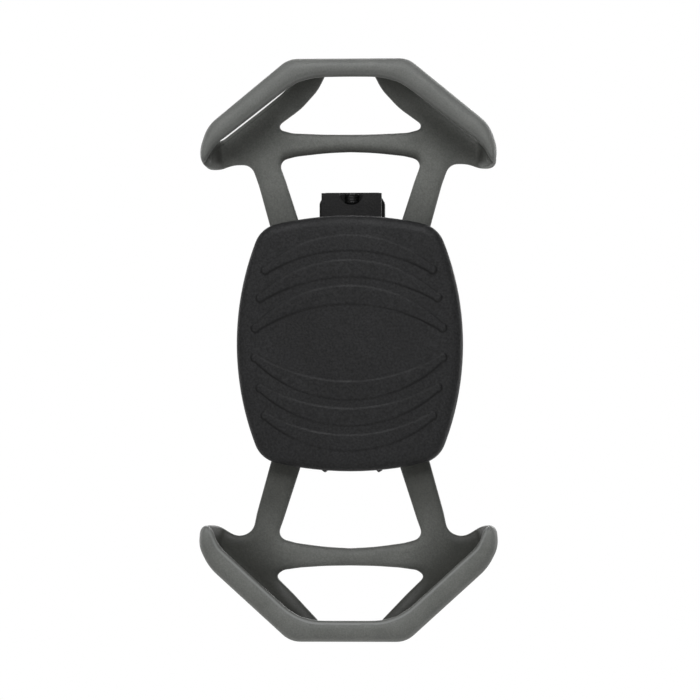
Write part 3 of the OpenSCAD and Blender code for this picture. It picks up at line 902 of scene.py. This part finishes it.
def strap_skin(name, path, half_width, round_r=0.55):
    """A flat strap with rounded edges swept along a path in Y and Z; its width may change on the way."""
    d = np.gradient(path, axis=0)
    d /= np.linalg.norm(d, axis=1)[:, None]
    n = np.stack([d[:, 1], -d[:, 0]], 1)
    rings = []
    for p, q, w in zip(path, n, np.broadcast_to(half_width, len(path))):
        ring = []
        for side, out, start in ((1, 1, 0), (-1, 1, 90), (-1, -1, 180), (1, -1, 270)):
            for turn in (0, 30, 60, 90):
                a = math.radians(start + turn)
                x = side * (w - round_r) + round_r * math.cos(a)
                ring.append((x, out * (STRAP_T / 2 - round_r) + round_r * math.sin(a)))
        rings.append([(x, p[0] + q[0] * h, p[1] + q[1] * h) for x, h in ring])
    return tube(name, rings)


def cylinder_x(name, y, z, r, half):
    """A cylinder along X."""
    return tube(name, [[(x, y + a, z + b) for a, b in circle(r, 48)] for x in (-half, half)])


def cut_away(obj, cutter):
    """Takes the cutter's shape out of an object and removes the cutter."""
    m = obj.modifiers.new("cut", "BOOLEAN")
    m.operation = "DIFFERENCE"
    m.solver = "EXACT"
    m.object = cutter
    apply_modifiers(obj)
    old = cutter.data
    bpy.data.objects.remove(cutter)
    bpy.data.meshes.remove(old)


def along_strap(x, out, along):
    """A point given across the strap, out of it and along it from the hook, in the part's own frame."""
    n = np.array([math.cos(TOP_A), math.sin(TOP_A)])
    u = np.array([-math.sin(TOP_A), math.cos(TOP_A)])
    base = np.array([BEND_Y, BEND_Z]) - u * HOOK_FROM_BEND
    p = base + n * out + u * along
    return (x, p[0], p[1])


def ladder_cutter(k):
    """The shape of one of the strap's slots, with round ends."""
    r = SLOT_LENGTH / 2
    centre = r - 2 - k * SLOT_PITCH
    flat = []
    for a in np.linspace(-90, 90, 17):
        flat.append((SLOT_HALF - r + r * math.cos(math.radians(a)), centre + r * math.sin(math.radians(a))))
    flat += [(-x, 2 * centre - z) for x, z in flat]
    return tube(f"slot{k}", [[along_strap(x, o, z) for x, z in flat] for o in (-4, 4)])


def build_lower_strap():
    """The strap from the knuckle on its pin to half way round the bar."""
    band = strap_skin("strap_low", strap_path(lower_half=True), STRAP_HALF)
    pin = np.array([PIN_Y, PIN_Z])
    to_arc = (on_bar(LOW_A) - pin) / LOW_RUN
    neck = strap_skin("strap_neck", np.array([pin + to_arc * s for s in (1.0, 3.0, 6.2)]), NECK_HALF)
    knuckle = cylinder_x("knuckle", PIN_Y, PIN_Z, KNUCKLE_R, NECK_HALF)
    lower = join([band, neck, knuckle], "strap_root_skin")
    voxel_fuse(lower, fineness(0.3))
    relax(lower, 5)
    cut_away(lower, cylinder_x("pin_bore", PIN_Y, PIN_Z, PIN_BORE_R, 12))
    smooth_faces(lower)
    dress(lower, STRAP)
    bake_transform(lower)
    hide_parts("strap_lower")


def build_upper_strap():
    """The strap from half way round the bar to its pull tab, with its ladder slots."""
    upper = strap_skin("strap_top", strap_path(lower_half=False), STRAP_HALF)
    cut_away(upper, join([ladder_cutter(k) for k in range(SLOT_COUNT)], "slots"))
    voxel_fuse(upper, fineness(0.3))
    relax(upper, 5)
    upper.name = "strap_end_skin"
    dress(upper, STRAP)
    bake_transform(upper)
    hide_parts("strap_upper", "strap_middle")


def blunt(along, length, least):
    """How wide a rounded end is, as part of the full width, at a distance along it."""
    t = max(0.0, 1 - along / length)
    return min(1.0, math.sqrt(max(0.0, 1 - t**2)) + least)


def build_pull_tab():
    """The stiff tab behind the notched plate: a bend and an upright blade with a short grip rib."""
    cut = BEND_R * math.tan(TOP_A / 2)
    centre = np.array([BEND_Y + BEND_R, BEND_Z + cut])
    turns = np.linspace(math.pi + TOP_A, math.pi, 16)
    bend = [centre + BEND_R * np.array([math.cos(a), math.sin(a)]) for a in turns]
    heights = np.linspace(0.5, TAB_TOP + 0.3 - BEND_Z - cut, 16)
    path = np.array(bend + [np.array([BEND_Y, BEND_Z + cut + s]) for s in heights])
    # the blade gets narrower at its top
    half_width = STRAP_HALF - 1.4 * np.clip((path[:, 1] - (TAB_TOP - 2.2)) / 2.5, 0, 1)
    blade = strap_skin("tab", path, half_width, 0.5)
    levels = []
    for k in range(61):
        z = TAB_TOP - RIB_LENGTH + RIB_LENGTH * k / 60
        r = (1.76 + 0.04 * math.cos(2 * math.pi * k / 10)) * blunt(k, 8, 0.25) * blunt(60 - k, 10, 0.35)
        levels.append([(a, BEND_Y - STRAP_T / 2 + b, z) for a, b in circle(r, 40)])
    obj = join([blade, tube("rib", levels)], "pull_tab_skin")
    smooth_faces(obj)
    dress(obj, TAB)
    weight_normals(obj)
    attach(obj, "strap_end")
    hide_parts("pull_tab")


# ---------------------------------------------------------------- stage, light and camera
FLOOR_Z, FLOOR_R = -160.0, 600.0


def build_floor():
    verts = [(a, b, FLOOR_Z) for a, b in circle(FLOOR_R, 96)]
    floor = make_object("floor", verts, [list(range(96))])
    mat, nt, shader = new_material("floor_white", specular=0.2)
    tone = mix_colour(nt, noise(nt, 8.0), (0.8, 0.8, 0.79), (0.82, 0.82, 0.81))
    nt.links.new(tone, shader.inputs["Base Color"])
    shader.inputs["Roughness"].default_value = 0.8
    dress(floor, mat)


def build_world():
    """A white background for the camera, with only a faint light on the object."""
    world = bpy.data.worlds.new("studio")
    bpy.context.scene.world = world
    world.use_nodes = True
    nt = world.node_tree
    nt.nodes.clear()
    out = nt.nodes.new("ShaderNodeOutputWorld")
    seen, lit = nt.nodes.new("ShaderNodeBackground"), nt.nodes.new("ShaderNodeBackground")
    seen.inputs["Color"].default_value = (1, 1, 1, 1)
    seen.inputs["Strength"].default_value = 1.0
    lit.inputs["Color"].default_value = (0.97, 0.98, 1, 1)
    lit.inputs["Strength"].default_value = 0.1
    pick = nt.nodes.new("ShaderNodeMixShader")
    path = nt.nodes.new("ShaderNodeLightPath")
    nt.links.new(path.outputs["Is Camera Ray"], pick.inputs["Fac"])
    nt.links.new(lit.outputs["Background"], pick.inputs[1])
    nt.links.new(seen.outputs["Background"], pick.inputs[2])
    nt.links.new(pick.outputs["Shader"], out.inputs["Surface"])


def area_light(name, place, aim, size, watts, colour=(1, 1, 1)):
    data = bpy.data.lights.new(name, "AREA")
    data.shape = "RECTANGLE"
    data.size, data.size_y = size
    data.energy = watts
    data.color = colour
    obj = bpy.data.objects.new(name, data)
    bpy.context.scene.collection.objects.link(obj)
    obj.location = place
    obj.rotation_euler = (Vector(aim) - Vector(place)).to_track_quat("-Z", "Y").to_euler()
    obj.visible_camera = False


def build_lights():
    area_light("key_above", (0.0, -0.66, 0.70), (0, -0.03, 0.0), (0.7, 0.4), 8.6, (0.98, 0.985, 1.0))
    area_light("side_left", (-0.8, -0.6, 0.2), (0, -0.03, 0), (0.3, 0.7), 1.5)
    area_light("side_right", (0.8, -0.6, 0.2), (0, -0.03, 0), (0.3, 0.7), 0.8)
    area_light("back_above", (0.1, 0.9, 0.45), (0, 0, 0), (0.9, 0.6), 9.0)
    for side in (-1, 1):
        area_light("back_side", (0.75 * side, 0.6, 0.1), (0, 0, 0), (0.4, 0.8), 3.0)


def build_camera():
    data = bpy.data.cameras.new("camera")
    distance, view_width = 0.9, 0.1684
    data.sensor_width = 36.0
    data.lens = data.sensor_width * distance / view_width
    cam = bpy.data.objects.new("camera", data)
    bpy.context.scene.collection.objects.link(cam)
    azimuth, elevation = math.radians(3.3), math.radians(-2.2)
    target = Vector((0.00015, -0.031, -HOLDER_DROP * MM + 0.00015))
    level = math.cos(elevation)
    back = Vector((math.sin(azimuth) * level, -math.cos(azimuth) * level, math.sin(elevation)))
    cam.location = target + back * distance
    cam.rotation_euler = (-back).to_track_quat("-Z", "Y").to_euler()
    data.clip_start, data.clip_end = 0.05, 10
    bpy.context.scene.camera = cam
    bpy.context.scene.view_settings.view_transform = "Standard"


build_camera()
build_lights()
build_floor()
build_world()
finish_cad_nodes()
build_pad_cover()
build_holder(1)
build_holder(-1)
build_lower_strap()
build_upper_strap()
build_pull_tab()
